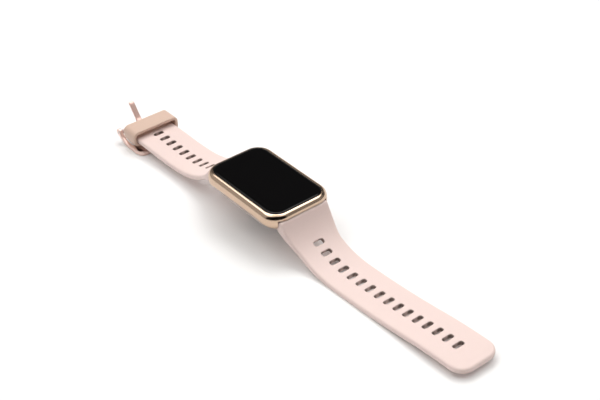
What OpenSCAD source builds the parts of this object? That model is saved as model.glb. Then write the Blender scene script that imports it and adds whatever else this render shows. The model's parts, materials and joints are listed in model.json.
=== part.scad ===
// Fitness tracker band, lying open on a surface with its two straps spread.
// X runs across the band, +Y along it towards the buckle, +Z up. The origin is on the
// surface, under the middle of the band's length. All sizes are in millimetres.

/* [Case] */
// Width of the case, without the button
case_w = 30; // [29.5:0.5:31]
// Length of the case along the band
case_l = 46; // [46:0.5:47]
// Height of the case, sensor window to glass
case_h = 10.7; // [10.6:0.1:10.9]
// Corner radius of the case seen from above
case_r = 7.3; // [7.1:0.1:7.5]
// Lean of the case, buckle end up, in degrees
case_tilt = 2.3; // [0:0.1:3]
// Radius of the metal frame's lower edge
frame_under_r = 2.2; // [1.8:0.1:2.3]
// Radius of the metal frame's upper edge
frame_over_r = 2; // [1.6:0.1:2]
// Height of the metal frame's lowest plane above the sensor window
frame_z = 3.8; // [3.6:0.1:3.9]

/* [Screen] */
// Width of metal left beside the glass
rim_w = 2.35; // [2.2:0.05:2.5]
// Width of metal left at each end of the glass
rim_l = 1.95; // [1.8:0.05:2.1]
// Thickness of the cover glass
glass_t = 1; // [0.9:0.05:1]
// Thickness of the display panel
display_t = 1.05; // [0.9:0.05:1.05]

/* [Button] */
// Length of the button cap
button_l = 9; // [7:0.5:11]
// Height of the button cap
button_h = 2.4; // [2:0.1:2.8]
// How far the button stands out of the frame
button_out = 0.6; // [0.4:0.1:0.8]
// Travel of the button
button_travel = 0.35; // [0.2:0.05:0.35]

/* [Straps] */
// Width of both straps
strap_w = 19.2; // [18:0.2:19.4]
// Width where a strap meets the case
strap_root_w = 22.6; // [22:0.2:22.8]
// Thickness of both straps
strap_t = 2; // [1.8:0.1:2.2]
// Extra thickness beside the case, which thins out along the strap
strap_root_t = 4; // [3.4:0.1:4.2]
// Distance from one slot to the next
slot_pitch = 4.925; // [4.8:0.005:5]
// Length of a slot across the strap
slot_w = 4.5; // [3.5:0.1:5.5]
// Width of a slot along the strap
slot_l = 2; // [1.6:0.1:2.4]
// Slots in the long strap
long_slots = 16; // [8:1:16]
// Slots in the short strap
short_slots = 10; // [4:1:10]

/* [Buckle] */
// Outer width of the buckle frame
buckle_w = 23; // [22.8:0.2:24]
// Reach of the buckle frame from its pin
buckle_reach = 17.7; // [17:0.1:18.5]
// Width of the buckle's cross plate
plate_l = 7.9; // [7:0.1:8.2]
// Length of the tongue from the pin
tongue_l = 10.8; // [10.6:0.1:11]
// Lean of the tongue above the horizontal, in degrees
tongue_lean = 55; // [50:1:60]
// Length of the keeper loop along the strap
keeper_l = 8.5; // [7:0.5:9]
// Outer height of the keeper loop
keeper_h = 7.1; // [7:0.1:8.6]

/* [Hidden] */
$fn = 64;

GOLD = "#E2B8A0";
BRIGHT_GOLD = "#F0D2BE";
SILICONE = "#F8DED6";
TAN_SILICONE = "#EFCDB8";
BLACK = "#101012";
DARK_PLASTIC = "#2B2B2E";
PINK_PLASTIC = "#C8AFA6";
BOARD_GREEN = "#1F5B3C";
STEEL = "#C9CCD0";

// Gaps between pieces
fit = 0.05;
gap = 0.1;
swing_gap = 0.25;

// Plan sizes of the case's layers
glass_w = case_w - 2*rim_w;
glass_l = case_l - 2*rim_l;
glass_r = case_r - (rim_w + rim_l)/2;
panel_w = glass_w - 2.2;
panel_l = glass_l - 2.2;
panel_r = glass_r - 1.1;
wall = 2.6;
bay_w = case_w - 2*wall;
bay_l = 32.6;
bay_r = 4;

// Heights above the sensor window's lowest point
frame_top = case_h - 0.2;
seat_z = case_h - glass_t - gap;
panel_z = seat_z - display_t;
pocket_top = panel_z - 0.4;
board_t = 0.7;
board_z = 6.9;
cover_z = 1.2;
cover_t = 1.2;
cover_floor = cover_z + cover_t;
battery_z = cover_floor + 0.8;
chassis_z = 4.5;
chassis_top = 6.8;

// Button: its height, then distances from the case's middle and radii
button_z = 6;
cap_back = case_w/2 - 0.3;
stem_in = 11.05;
stem_r = 0.8;
seal_in = 13.35;
seal_t = 0.5;
seal_r = 1.18;
clip_in = 11.85;
clip_t = 0.2;
clip_r = 1.5;
groove_r = 0.55;

// Sensor window and charging contacts
window_r = 7.6;
window_t = 1.6;
window_bore = 6;
contact_x = 2.5;
contact_y = 12;
contact_r = 1;

// Strap hinges, in the case's own frame
bar_y = 19.6;
bar_z = 5.9;
knuckle_r = 1.9;
pocket_in = bar_y - knuckle_r - swing_gap;
pocket_w = strap_root_w + 4*gap;

// Spring bars
tube_r = 0.9;
tube_bore = 0.58;
tip_r = 0.45;
tip_hole = tip_r + fit;
tube_half = strap_root_w/2 - 0.3;
tip_end = 12.5;
lever_x = 8;
lever_r = 0.45;
release_travel = 1.2;

// Case screws
screw_x = 10;
screw_y = 13.9;
screw_r = 0.5;
screw_l = 3.9;
head_r = 0.95;
head_z = 1.3;
head_t = 0.6;
boss_r = 1.35;

// Each strap is a chain of arcs: length, and how far it bends upwards in degrees
long_arcs = [[14, 37], [8, 16.5], [10, 13], [16, 2.5], [22, 3.5], [27.6, -7]];
short_arcs = [[14, 23.5], [8, 12], [10, 12], [12, 5], [22, 0], [8.6, -15]];
long_start = -67.5;
short_start = -50;
long_first_slot = 12.66;
short_first_slot = 14.95;
long_tip_r = 5.6;
slot_r = 0.7;
seam_y = case_l/2 + 0.2;

// The root's extra thickness and its flare thin out over these lengths
root_l = 11;
flare_from = 1;
flare_l = 9;

// Notch for the tongue in the short strap's end, and the eye round the buckle pin
notch_w = 3;
notch_l = 2.4;
strap_eye_r = 1.6;

function total(arcs, i = 0) = i == len(arcs) ? 0 : arcs[i][0] + total(arcs, i + 1);
long_run = total(long_arcs);
short_run = total(short_arcs);

// Side view of the case: its own (y, z) turned by the lean, the glass kept over y = 0
function lean(y, z) = [
    y*cos(case_tilt) - (z - case_h)*sin(case_tilt),
    y*sin(case_tilt) + (z - case_h)*cos(case_tilt)
];

// Walks s along a chain of arcs and gives [reach, height, heading]
function walk(arcs, s, at, heading, i = 0) =
    let(part = i == len(arcs) - 1 ? s : min(s, arcs[i][0]))
    let(turn = arcs[i][1]*part/arcs[i][0])
    let(chord = abs(turn) < 0.0001 ? part : part*sin(turn/2)/(turn*PI/360))
    let(next = at + chord*[cos(heading + turn/2), sin(heading + turn/2)])
    s <= arcs[i][0] || i == len(arcs) - 1
        ? [next[0], next[1], heading + turn]
        : walk(arcs, s - part, next, heading + turn, i + 1);

// Where each strap's top surface starts, with the glass at height 0
long_seam = [-lean(-seam_y, pocket_top - gap)[0], lean(-seam_y, pocket_top - gap)[1]];
short_seam = lean(seam_y, pocket_top - gap);
function long_at(s) = walk(long_arcs, s, long_seam, long_start);
function short_at(s) = walk(short_arcs, s, short_seam, short_start);

// The long strap's lowest point rests on the surface
function under(p, t) = [p[0] + t*sin(p[2]), p[1] - t*cos(p[2])];
long_lows = [for (s = [20:1:long_run]) under(long_at(s), strap_t)[1]];
glass_z = -min(long_lows);

// The buckle pin sits in the middle of the short strap's end
pin_at = under(short_at(short_run), strap_t/2);
tongue_reach = pin_at[0] + tongue_l*cos(tongue_lean);
tip_reach = long_at(long_run)[0];
case_y = (tip_reach - tongue_reach)/2;
pin_y = case_y + pin_at[0];
pin_z = glass_z + pin_at[1];
pin_r = 0.65;
eye_bore = pin_r + 0.07;
tongue_eye_r = 1.35;

function arc(cx, cy, r, from, to, steps) =
    [for (i = [0:steps]) let(a = from + (to - from)*i/steps) [cx + r*cos(a), cy + r*sin(a)]];
function flip(points) = [for (i = [len(points) - 1:-1:0]) [-points[i][0], points[i][1]]];

// ---- Shared shapes ----

module on_case() {
    translate([0, case_y, glass_z])
        rotate([case_tilt, 0, 0])
            translate([0, 0, -case_h])
                children();
}

module rounded_rect(w, l, r) {
    square([w - 2*r, l], center = true);
    square([w, l - 2*r], center = true);
    for (x = [-1, 1], y = [-1, 1])
        translate([x*(w/2 - r), y*(l/2 - r)])
            circle(r);
}

module slab(w, l, r, z, t) {
    translate([0, 0, z])
        linear_extrude(t)
            rounded_rect(w, l, r);
}

// Sweeps an edge profile round a rounded rectangle and fills the middle from z to z + t
module edged_slab(w, l, r, z, t) {
    for (a = [0:90:270])
        let(x = a == 0 || a == 270 ? 1 : -1, y = a < 180 ? 1 : -1)
            translate([x*(w/2 - r), y*(l/2 - r), 0])
                rotate([0, 0, a])
                    rotate_extrude(angle = 90)
                        children();
    for (side = [0, 180])
        rotate([0, 0, side]) {
            translate([w/2 - r, 0, 0])
                rotate([90, 0, 0])
                    linear_extrude(l - 2*r, center = true)
                        children();
            translate([0, l/2 - r, 0])
                rotate([90, 0, 90])
                    linear_extrude(w - 2*r, center = true)
                        children();
        }
    translate([r - w/2, r - l/2, z])
        cube([w - 2*r, l - 2*r, t]);
}

// Edge profile, from the corner centre outwards, with rounded lower and upper edges
module edge(r, z, top, low_r, high_r) {
    polygon(concat(
        [[0, z]],
        arc(r - low_r, z + low_r, low_r, -90, 0, 8),
        arc(r - high_r, top - high_r, high_r, 0, 90, 8),
        [[0, top]]
    ));
}

// Repeats its children at the four case screws
module at_screws() {
    for (x = [-screw_x, screw_x], y = [-screw_y, screw_y])
        translate([x, y, 0])
            children();
}

// A cylinder along X that starts at x
module rod(x, length, r) {
    translate([x, 0, 0])
        rotate([0, 90, 0])
            cylinder(h = length, r = r);
}

module at_bar(side) {
    on_case()
        translate([0, side*bar_y, bar_z])
            rotate([0, 0, side > 0 ? 0 : 180])
                mirror([side > 0 ? 0 : 1, 0, 0])
                    children();
}

// ---- Case ----

module frame_blank() {
    edged_slab(case_w, case_l, case_r, frame_z, frame_top - frame_z)
        edge(case_r, frame_z, frame_top, frame_under_r, frame_over_r);
}

module strap_pocket() {
    translate([-pocket_w/2, pocket_in, 0])
        cube([pocket_w, case_l/2, pocket_top]);
    for (side = [-1, 1])
        translate([0, bar_y, bar_z])
            rod(side > 0 ? 0 : -tip_end - gap, tip_end + gap, tip_hole);
}

// Recess for the cap, which is as deep as it travels, with holes for the seal and stem
module button_hole() {
    translate([0, 0, button_z]) {
        rod(bay_w/2 - 1, case_w/2, stem_r + fit);
        rod(seal_in - swing_gap, case_w/2, seal_r + 0.02);
        translate([cap_back - button_travel - fit, 0, 0])
            rotate([90, 0, 90])
                linear_extrude(2)
                    rounded_rect(button_l + 2*gap, button_h + 2*gap, button_h/2);
    }
}

module case_frame() {
    color(GOLD)
        on_case()
            difference() {
                frame_blank();
                slab(glass_w + 2*gap, glass_l + 2*gap, glass_r + gap, seat_z, 3);
                slab(panel_w + 2*gap, panel_l + 2*gap, panel_r + gap, panel_z, 3);
                slab(bay_w, bay_l, bay_r, 0, panel_z + 1);
                strap_pocket();
                rotate([0, 0, 180])
                    strap_pocket();
                button_hole();
            }
}

module cover_glass() {
    color(BLACK)
        on_case()
            edged_slab(glass_w, glass_l, glass_r, case_h - glass_t, glass_t)
                edge(glass_r, case_h - glass_t, case_h, 0.1, 0.8);
}

module glass_gasket() {
    color(DARK_PLASTIC)
        on_case()
            difference() {
                slab(glass_w - 2*gap, glass_l - 2*gap, glass_r - gap, seat_z, gap);
                slab(panel_w + 2*gap, panel_l + 2*gap, panel_r + gap, 0, case_h);
            }
}

module display_panel() {
    color("#18181C")
        on_case()
            slab(panel_w, panel_l, panel_r, panel_z, display_t);
}

module display_flex() {
    flex_w = 8;
    flex_t = 0.15;
    color("#C98B2E")
        on_case()
            translate([-flex_w/2, -bay_l/2 + 1.4, 0]) {
                translate([0, 0, panel_z - flex_t])
                    cube([flex_w, 6, flex_t]);
                translate([0, 0, board_z + board_t])
                    cube([flex_w, flex_t, panel_z - board_z - board_t]);
                translate([0, 0, board_z + board_t])
                    cube([flex_w, 4, flex_t]);
            }
}

module inner_chassis() {
    switch_room = 5.4;
    color(DARK_PLASTIC)
        on_case()
            difference() {
                union() {
                    difference() {
                        slab(bay_w - 0.4, bay_l - 0.5, bay_r - 0.2,
                            chassis_z, chassis_top - chassis_z);
                        slab(bay_w - 2.4, bay_l - 1.9, bay_r - 1.2, 0, case_h);
                    }
                    translate([-bay_w/2 + 0.8, -5.3, chassis_z])
                        cube([bay_w - 1.6, 0.8, 0.9]);
                    at_screws()
                        translate([0, 0, cover_floor + fit])
                            cylinder(h = chassis_top - cover_floor - fit, r = boss_r);
                }
                at_screws()
                    cylinder(h = 6, r = screw_r);
                translate([bay_w/2 - 4, -switch_room/2, 0])
                    cube([5, switch_room, case_h]);
            }
}

module battery() {
    color("#9AA0A8")
        on_case()
            translate([0, 5.2, 0])
                slab(17, 19, 1.2, battery_z, 3.3);
}

module main_board() {
    color(BOARD_GREEN)
        on_case()
            difference() {
                slab(bay_w - 1.2, bay_l - 1.4, bay_r - 0.6, board_z, board_t);
                translate([bay_w/2 - 1.2, -2, 0])
                    cube([2, 4, case_h]);
            }
}

module shield_can(x) {
    can_w = 8;
    can_h = 1.3;
    color(STEEL)
        on_case()
            translate([x, -10, 0])
                difference() {
                    slab(can_w, 8.6, 0.5, board_z - can_h, can_h);
                    slab(can_w - 0.4, 8.2, 0.3, board_z - can_h + 0.2, can_h);
                }
}

module processor_shield() {
    shield_can(-4.3);
}

module radio_shield() {
    shield_can(4.3);
}

module vibration_motor() {
    color(STEEL)
        on_case()
            translate([-4.5, -11, cover_floor + gap])
                cylinder(h = 2.6, r = 4);
}

module back_cover() {
    flange_w = bay_w + 0.6;
    flange_l = 2*pocket_in - 0.7;
    flange_r = 5;
    lip_h = 0.8;
    color(PINK_PLASTIC)
        on_case()
            difference() {
                union() {
                    edged_slab(flange_w, flange_l, flange_r, cover_z, frame_z - gap - cover_z)
                        edge(flange_r, cover_z, frame_z - gap, 1.2, 0.01);
                    slab(bay_w - 2*gap, bay_l - 2*gap, bay_r - gap, frame_z - gap, lip_h);
                }
                slab(bay_w - 2.4, bay_l - 2, bay_r - 1.2, cover_floor, case_h);
                cylinder(h = case_h, r = window_bore + 2*gap);
                cylinder(h = window_t, r = window_r + gap);
                at_screws() {
                    cylinder(h = case_h, r = screw_r + gap);
                    cylinder(h = head_z + head_t, r = head_r + gap);
                    translate([0, 0, cover_floor])
                        cylinder(h = case_h, r = boss_r + gap);
                }
                at_contacts()
                    cylinder(h = case_h, r = contact_r);
            }
}

module at_contacts() {
    for (x = [-contact_x, contact_x])
        translate([x, contact_y, 0])
            children();
}

module back_gasket() {
    color("#C94F3D")
        on_case()
            difference() {
                slab(bay_w + 0.4, bay_l + 0.4, bay_r + 0.2, frame_z - gap, gap);
                slab(bay_w - 2*gap, bay_l - 2*gap, bay_r - gap, 0, case_h);
            }
}

// A shallow glass dish whose rounded rim stands proud of the back cover
module sensor_window() {
    rim_r = 1;
    glass_floor = 1.2;
    color("#16161A")
        on_case()
            difference() {
                rotate_extrude()
                    polygon(concat(
                        [[0, 0]],
                        arc(window_r - rim_r, rim_r, rim_r, -90, 0, 6),
                        [[window_r, window_t], [0, window_t]]
                    ));
                translate([0, 0, glass_floor])
                    cylinder(h = window_t, r = window_bore);
            }
}

module sensor_board() {
    color(BOARD_GREEN)
        on_case()
            translate([0, 0, cover_floor])
                cylinder(h = 0.5, r = 7.2);
}

// Two small emitters and two larger detectors, round the window's middle
module sensor_leds() {
    led_w = 1.6;
    detector_w = 2.4;
    from_middle = 3.6;
    led_t = 0.7;
    color("#D9F2DC")
        on_case()
            for (side = [-1, 1]) {
                translate([-led_w/2, side*from_middle - led_w/2, cover_floor - led_t])
                    cube([led_w, led_w, led_t]);
                translate([side*from_middle - detector_w/2, -detector_w/2, cover_floor - led_t])
                    cube([detector_w, detector_w, led_t]);
            }
}

module charging_contacts() {
    color("#D8B25A")
        on_case()
            at_contacts()
                translate([0, 0, cover_z + gap])
                    cylinder(h = 1.7, r = contact_r);
}

module case_screws() {
    color(STEEL)
        on_case()
            at_screws()
                difference() {
                    union() {
                        translate([0, 0, head_z])
                            cylinder(h = head_t, r = head_r);
                        translate([0, 0, head_z + head_t])
                            cylinder(h = screw_l, r = screw_r);
                    }
                    translate([0, 0, head_z - gap])
                        cylinder(h = 0.4, r = 0.45, $fn = 6);
                }
}

// ---- Button ----

// Stands clear of the stem by the button's travel
module button_switch() {
    switch = [1.5, 4, 1.9];
    color(DARK_PLASTIC)
        on_case()
            translate([stem_in - button_travel - gap - switch[0], -switch[1]/2, 4.9])
                cube(switch);
}

module button_seal() {
    color("#303034")
        on_case()
            translate([0, 0, button_z])
                difference() {
                    rod(seal_in, seal_t, seal_r);
                    rod(seal_in - 1, 2, stem_r + 0.02);
                }
}

module side_button() {
    color(BRIGHT_GOLD)
        on_case()
            translate([0, 0, button_z])
                difference() {
                    union() {
                        rod(stem_in, case_w/2 - stem_in, stem_r);
                        translate([cap_back, 0, 0])
                            rotate([90, 0, 90])
                                linear_extrude(case_w/2 + button_out - cap_back)
                                    rounded_rect(button_l, button_h, button_h/2 - 0.01);
                    }
                    difference() {
                        rod(clip_in - fit, clip_t + 2*fit, 1);
                        rod(clip_in - fit, clip_t + 2*fit, groove_r);
                    }
                }
}

module button_clip() {
    color(STEEL)
        on_case()
            translate([clip_in, 0, button_z])
                rotate([0, 90, 0])
                    difference() {
                        cylinder(h = clip_t, r = clip_r);
                        cylinder(h = 1, r = groove_r, center = true);
                        translate([-0.4, 0, -1])
                            cube([0.8, 3, 3]);
                    }
}

// ---- Straps ----

// Thickness at s along a strap
function thick(s) = strap_t + (s < root_l ? strap_root_t*pow(1 - s/root_l, 2) : 0);

// Side outline of a strap: the top surface out, the underside back, and round the knuckle
function side_outline(tops, step, bar) = concat(
    [for (i = [0:len(tops) - 1]) [tops[i][0], tops[i][1]]],
    [for (i = [len(tops) - 1:-1:2]) under(tops[i], thick(i*step))],
    arc(bar[0], bar[1], knuckle_r, -75, -270, 12)
);

// Half of a strap's outline seen from above: the flare at the case eases to the width
function flare(seam) = [
    for (i = [0:10]) [
        (strap_w + strap_root_w)/4 + (strap_root_w - strap_w)/4*cos(18*i),
        seam + flare_from + flare_l*i/10
    ]
];

module strap_plan(seam, reach, corner_r) {
    half = concat(
        [[strap_root_w/2, 0]],
        flare(seam),
        arc(strap_w/2 - corner_r, reach - corner_r, corner_r, 0, 90, 10)
    );
    polygon(concat(half, flip(half)));
}

module strap_body(tops, step, bar, reach, corner_r) {
    intersection() {
        rotate([90, 0, 90])
            linear_extrude(strap_root_w, center = true)
                polygon(side_outline(tops, step, bar));
        translate([0, 0, -40])
            linear_extrude(80)
                strap_plan(tops[0][0], reach, corner_r);
    }
}

// Cuts one slot square to the strap at each [reach, height, heading]
module strap_slots(points) {
    for (p = points)
        translate([0, p[0], p[1]])
            rotate([p[2], 0, 0])
                translate([0, 0, -2*strap_t])
                    linear_extrude(3*strap_t)
                        rounded_rect(slot_w, slot_l, slot_r);
}

module bar_cut() {
    rod(-strap_root_w/2 - 1, strap_root_w + 2, tube_r);
    lever_slot(knuckle_r + 3);
}

// The lever's way as it slides, cut down from the bar's axis
module lever_slot(depth) {
    room = lever_r + gap;
    translate([lever_x - room - release_travel, -room, -depth])
        cube([release_travel + 2*room, 2*room, depth]);
}

// Places a strap drawn towards +Y on its own side of the case
module spread(side) {
    translate([0, case_y, glass_z])
        mirror([0, side < 0 ? 1 : 0, 0])
            children();
}

long_bar = [-lean(-bar_y, bar_z)[0], lean(-bar_y, bar_z)[1]];
short_bar = lean(bar_y, bar_z);
path_step = 1.5;

module strap_long() {
    steps = floor(long_run/path_step);
    step = long_run/steps;
    color(SILICONE)
        difference() {
            spread(-1)
                difference() {
                    strap_body([for (i = [0:steps]) long_at(i*step)], step,
                        long_bar, tip_reach, long_tip_r);
                    strap_slots([for (i = [0:long_slots - 1])
                        long_at(long_first_slot + i*slot_pitch)]);
                }
            at_bar(-1)
                bar_cut();
        }
}

module strap_short() {
    steps = floor(short_run/path_step);
    step = short_run/steps;
    color(SILICONE)
        difference() {
            spread(1)
                difference() {
                    union() {
                        strap_body([for (i = [0:steps]) short_at(i*step)], step,
                            short_bar, pin_at[0] + 5, 0.5);
                        translate([0, pin_at[0], pin_at[1]])
                            rod(-strap_w/2, strap_w, strap_eye_r);
                    }
                    strap_slots([for (i = [0:short_slots - 1])
                        short_at(short_first_slot + i*slot_pitch)]);
                    translate([0, pin_at[0], pin_at[1]]) {
                        rod(-strap_w, 2*strap_w, eye_bore);
                        translate([-notch_w/2, -notch_l, -5])
                            cube([notch_w, 10, 10]);
                    }
                }
            at_bar(1)
                bar_cut();
        }
}

module bar_tube(side) {
    color(STEEL)
        at_bar(side)
            difference() {
                union() {
                    rod(-tube_half, 2*tube_half, tube_r);
                    rod(-tip_end, tip_end, tip_r);
                }
                rod(1, tube_half - 1.6, tube_bore);
                rod(1, tube_half, tip_hole);
                lever_slot(2);
            }
}

module bar_spring(side) {
    turns = 14;
    wire_r = 0.1;
    pitch = 0.17;
    color(STEEL)
        at_bar(side)
            rotate([0, 90, 0])
                rotate_extrude()
                    for (i = [0:turns - 1])
                        translate([tube_bore - wire_r - 0.08, 1.2 + pitch*i])
                            circle(wire_r);
}

module release_pin(side) {
    pin_from = 6;
    lever_l = 2.4;
    color(STEEL)
        at_bar(side) {
            rod(pin_from, tube_half - 0.8 - pin_from, tube_bore - fit);
            rod(pin_from, tip_end - pin_from, tip_r);
            translate([lever_x, 0, -lever_l])
                cylinder(h = lever_l, r = lever_r);
        }
}

module bar_tube_long() {
    bar_tube(-1);
}

module bar_spring_long() {
    bar_spring(-1);
}

module release_pin_long() {
    release_pin(-1);
}

module bar_tube_short() {
    bar_tube(1);
}

module bar_spring_short() {
    bar_spring(1);
}

module release_pin_short() {
    release_pin(1);
}

// ---- Keeper and buckle ----

keeper_wall = 1.4;
keeper_r = 2.6;
keeper_inner_r = 0.8;
keeper_gap = 0.3;
keeper_mid = short_at(short_run - 9.3);

module keeper_loop() {
    color(TAN_SILICONE)
        spread(1)
            translate([0, keeper_mid[0], keeper_mid[1]])
                rotate([keeper_mid[2], 0, 0])
                    translate([0, 0, keeper_h/2 - strap_t - keeper_wall - keeper_gap])
                        rotate([90, 0, 0])
                            linear_extrude(keeper_l, center = true)
                                difference() {
                                    rounded_rect(buckle_w, keeper_h, keeper_r);
                                    rounded_rect(buckle_w - 2*keeper_wall,
                                        keeper_h - 2*keeper_wall, keeper_inner_r);
                                }
}

// The buckle frame lies flat on the surface, and its arms bend up to the pin
arm_w = 1.6;
arm_eye_r = 1.5;
buckle_r = 3.4;
band_t = 1.8;
bend_r = 10;
bend_z = bend_r + band_t/2;
bend_y = pin_y - sqrt(pow(bend_r, 2) - pow(bend_z - pin_z, 2));

// Seen from above: a cross plate and two straight arms that end under the pin
module buckle_plan() {
    open_l = buckle_reach - plate_l;
    difference() {
        translate([0, pin_y - buckle_reach/2])
            rounded_rect(buckle_w, buckle_reach, buckle_r);
        translate([arm_w - buckle_w/2, pin_y - open_l])
            square([buckle_w - 2*arm_w, buckle_reach]);
        translate([-buckle_w, pin_y - buckle_r])
            square([2*buckle_w, 5]);
    }
    for (side = [-1, 1])
        translate([side*(buckle_w - arm_w)/2 - arm_w/2, pin_y - buckle_r - gap])
            square([arm_w, buckle_r + gap]);
}

// Seen from the side: flat up to the bend, then an arc as far as the pin
module buckle_side() {
    translate([-buckle_w, bend_y - buckle_reach, 0])
        cube([2*buckle_w, buckle_reach, band_t]);
    intersection() {
        translate([-buckle_w, bend_y, 0])
            cube([2*buckle_w, bend_r, bend_z]);
        translate([0, bend_y, bend_z])
            difference() {
                rod(-buckle_w, 2*buckle_w, bend_r + band_t/2);
                rod(-buckle_w, 2*buckle_w, bend_r - band_t/2);
            }
    }
}

module buckle_frame() {
    rest_w = 3.2;
    rest_l = 3;
    color(GOLD)
        difference() {
            union() {
                intersection() {
                    linear_extrude(pin_z)
                        buckle_plan();
                    buckle_side();
                }
                for (side = [-1, 1])
                    translate([0, pin_y, pin_z])
                        rod(side*(buckle_w - arm_w)/2 - arm_w/2, arm_w, arm_eye_r);
            }
            translate([0, pin_y, pin_z])
                rod(-buckle_w, 2*buckle_w, pin_r);
            translate([-rest_w/2, pin_y - tongue_l - 0.8, band_t/2])
                cube([rest_w, rest_l, 3]);
        }
}

module buckle_pin() {
    color(STEEL)
        translate([0, pin_y, pin_z])
            rod(0.15 - buckle_w/2, buckle_w - 0.3, pin_r);
}

module buckle_tongue() {
    half_w = 1.2;
    half_t = 0.5;
    color(BRIGHT_GOLD)
        translate([0, pin_y, pin_z])
            rotate([tongue_lean, 0, 0])
                difference() {
                    union() {
                        rod(-half_w, 2*half_w, tongue_eye_r);
                        rotate([90, 0, 90])
                            linear_extrude(2*half_w, center = true)
                                polygon([
                                    [0, -half_t], [tongue_l - 1.6, -half_t],
                                    [tongue_l - 0.3, -half_t - 0.5], [tongue_l, half_t - 0.6],
                                    [tongue_l - 1.3, half_t], [0, half_t]
                                ]);
                    }
                    rod(-5, 10, eye_bore);
                }
}

case_frame();
cover_glass();
glass_gasket();
display_panel();
display_flex();
inner_chassis();
battery();
main_board();
processor_shield();
radio_shield();
vibration_motor();
back_cover();
back_gasket();
sensor_window();
sensor_board();
sensor_leds();
charging_contacts();
case_screws();
button_switch();
button_seal();
side_button();
button_clip();
strap_long();
bar_tube_long();
bar_spring_long();
release_pin_long();
strap_short();
bar_tube_short();
bar_spring_short();
release_pin_short();
keeper_loop();
buckle_frame();
buckle_pin();
buckle_tongue();
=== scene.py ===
"""The looks of a fitness tracker band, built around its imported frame.

Builders work in millimetres, either in the row frame or in the case's own frame, whose
origin is the sensor window's lowest point. Meshes are turned into metres at the end.
"""

import json
import math

import bmesh
import bpy
from mathutils import Matrix, Vector


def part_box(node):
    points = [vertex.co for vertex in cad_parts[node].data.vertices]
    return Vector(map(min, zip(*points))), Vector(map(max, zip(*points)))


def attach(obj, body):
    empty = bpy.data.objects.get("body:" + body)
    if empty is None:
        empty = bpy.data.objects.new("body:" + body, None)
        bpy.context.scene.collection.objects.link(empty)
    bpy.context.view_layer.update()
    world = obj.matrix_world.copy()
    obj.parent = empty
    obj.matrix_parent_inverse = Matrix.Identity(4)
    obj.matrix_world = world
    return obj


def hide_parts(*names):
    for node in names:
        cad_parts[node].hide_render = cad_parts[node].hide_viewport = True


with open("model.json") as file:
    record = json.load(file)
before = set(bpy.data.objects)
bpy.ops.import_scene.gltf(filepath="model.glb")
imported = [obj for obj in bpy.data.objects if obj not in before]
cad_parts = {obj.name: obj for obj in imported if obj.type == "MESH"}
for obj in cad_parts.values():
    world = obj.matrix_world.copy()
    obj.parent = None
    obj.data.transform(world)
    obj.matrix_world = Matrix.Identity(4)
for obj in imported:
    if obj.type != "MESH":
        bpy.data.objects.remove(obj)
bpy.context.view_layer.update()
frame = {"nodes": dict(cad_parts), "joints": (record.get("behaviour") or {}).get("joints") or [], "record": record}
JOINTS = {j["name"]: j for j in frame["joints"]}
NODES = frame["nodes"]
MM = 0.001


def point(joint):
    """A joint's place in millimetres."""
    return Vector(JOINTS[joint]["pos_m"]) / MM


# ---- Where the CAD puts things ----

CASE_H = 10.7
BAR_Z = 5.9
CASE_HALF_W, CASE_HALF_L, CASE_R = 15.0, 23.0, 7.3
LONG_BAR, SHORT_BAR = point("long_strap_hinge"), point("short_strap_hinge")
PIN = point("buckle_hinge")
TILT = math.atan2(SHORT_BAR.z - LONG_BAR.z, SHORT_BAR.y - LONG_BAR.y)
CASE = (
    Matrix.Translation((LONG_BAR + SHORT_BAR) / 2)
    @ Matrix.Rotation(TILT, 4, "X")
    @ Matrix.Translation((0, 0, -BAR_Z))
)
CASE_Y = (CASE @ Vector((0, 0, CASE_H))).y

# ---- Camera ----

CAMERA_FROM_CASE = Vector((-218.1, -312.3, 269.2)) * MM
CAMERA_AZIMUTH, CAMERA_ELEVATION, CAMERA_ROLL = -36.79, 34.27, -3.52
CAMERA_LENS, CAMERA_SENSOR = 71.0, 36


def make_camera():
    azimuth, elevation = math.radians(CAMERA_AZIMUTH), math.radians(CAMERA_ELEVATION)
    back = Vector((
        math.sin(azimuth) * math.cos(elevation),
        -math.cos(azimuth) * math.cos(elevation),
        math.sin(elevation),
    ))
    data = bpy.data.cameras.new("camera")
    data.sensor_width = CAMERA_SENSOR
    data.lens = CAMERA_LENS
    camera = bpy.data.objects.new("camera", data)
    bpy.context.scene.collection.objects.link(camera)
    turn = (-back).to_track_quat("-Z", "Y").to_matrix().to_4x4()
    roll = Matrix.Rotation(math.radians(CAMERA_ROLL), 4, "Z")
    place = Vector((0, CASE_Y * MM, 0)) + CAMERA_FROM_CASE
    camera.matrix_world = Matrix.Translation(place) @ turn @ roll
    bpy.context.scene.camera = camera


# ---- Mesh helpers ----


def make_object(name, verts, faces, place=None, smooth=35):
    """A closed mesh from points in millimetres, with outward normals and smooth shading."""
    matrix = place or Matrix.Identity(4)
    mesh = bpy.data.meshes.new(name)
    mesh.from_pydata([(matrix @ Vector(v)) * MM for v in verts], [], faces)
    bm = bmesh.new()
    bm.from_mesh(mesh)
    bmesh.ops.remove_doubles(bm, verts=bm.verts, dist=1e-7)
    bmesh.ops.recalc_face_normals(bm, faces=bm.faces)
    bm.to_mesh(mesh)
    bm.free()
    obj = bpy.data.objects.new(name, mesh)
    bpy.context.scene.collection.objects.link(obj)
    shade(obj, smooth)
    return obj


def shade(obj, angle):
    obj.data.shade_smooth()
    obj.data.set_sharp_from_angle(angle=math.radians(angle))


def bake_modifiers(obj):
    """Replaces an object's mesh by what its modifiers make of it."""
    graph = bpy.context.evaluated_depsgraph_get()
    made = bpy.data.meshes.new_from_object(obj.evaluated_get(graph))
    obj.modifiers.clear()
    obj.data = made


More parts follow.
